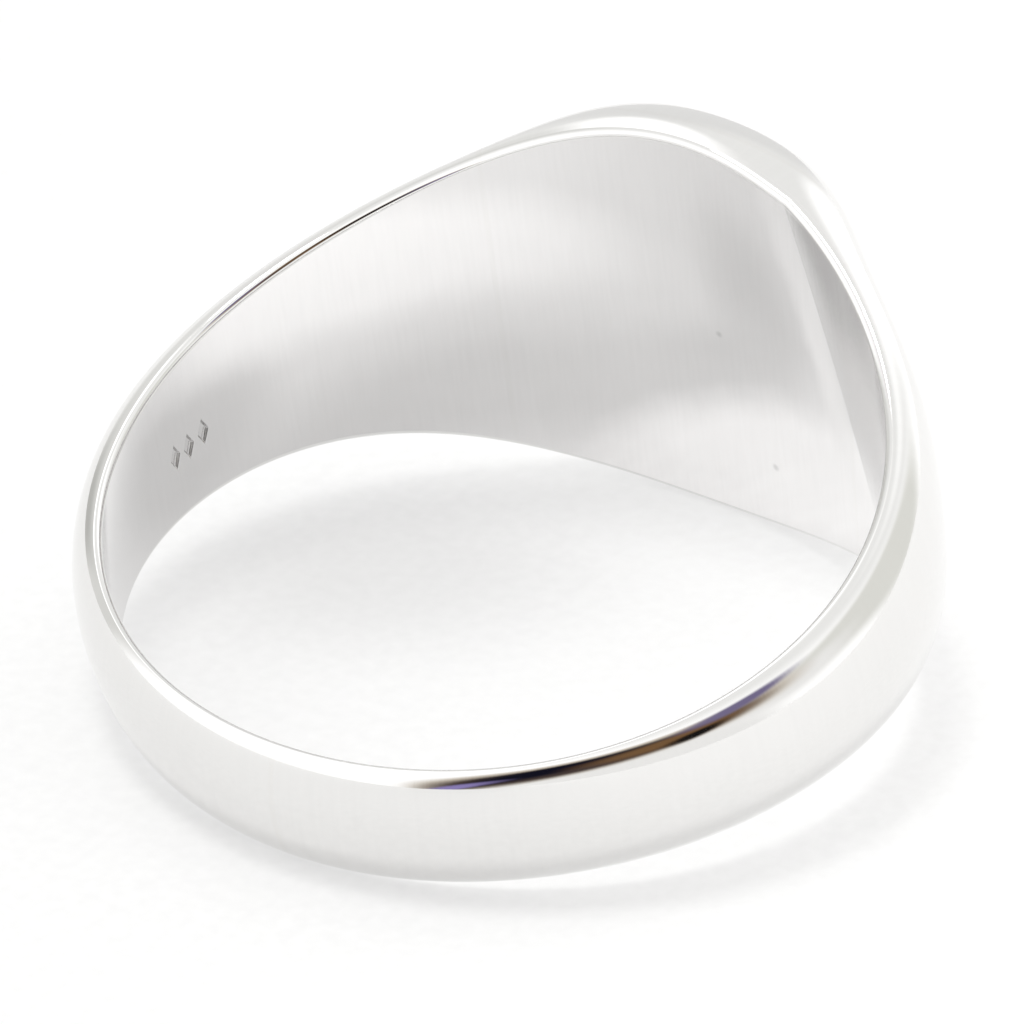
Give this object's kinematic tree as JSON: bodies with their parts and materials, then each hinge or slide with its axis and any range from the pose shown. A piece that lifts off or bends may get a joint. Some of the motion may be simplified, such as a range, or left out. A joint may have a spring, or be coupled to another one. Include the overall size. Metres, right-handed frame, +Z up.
{
  "type": "signet ring",
  "caption": "Plain polished signet ring: a tapered D-section shank widens into a head with a flat oval face for engraving and a flattened underside",
  "frame": {"origin": "on the surface the ring lies on, under the middle of its box", "axes": "+Z up from the surface, the ring lying on its side at rest on the lower rims of head and back; +X towards the signet head; the ring mirrors about the XZ plane. The finger opening's axis leans 12.3 degrees from +Z away from the head"},
  "size_m": [0.022, 0.0214, 0.0117],
  "materials": {
    "plate_silver": "mirror polished sterling silver",
    "head_silver": "polished outside, satin filed underside",
    "shank_silver": "polished outside, satin sanded inside wall",
    "solder": "silver solder, filed flush"
  },
  "bodies": {
    "root": {"signet_plate": "plate_silver", "plate_seam": "solder", "head_base": "head_silver", "head_seam_left": "solder", "head_seam_right": "solder", "shank_left": "shank_silver", "shank_right": "shank_silver", "sizing_seam": "solder"}
  },
  "joints": []
}
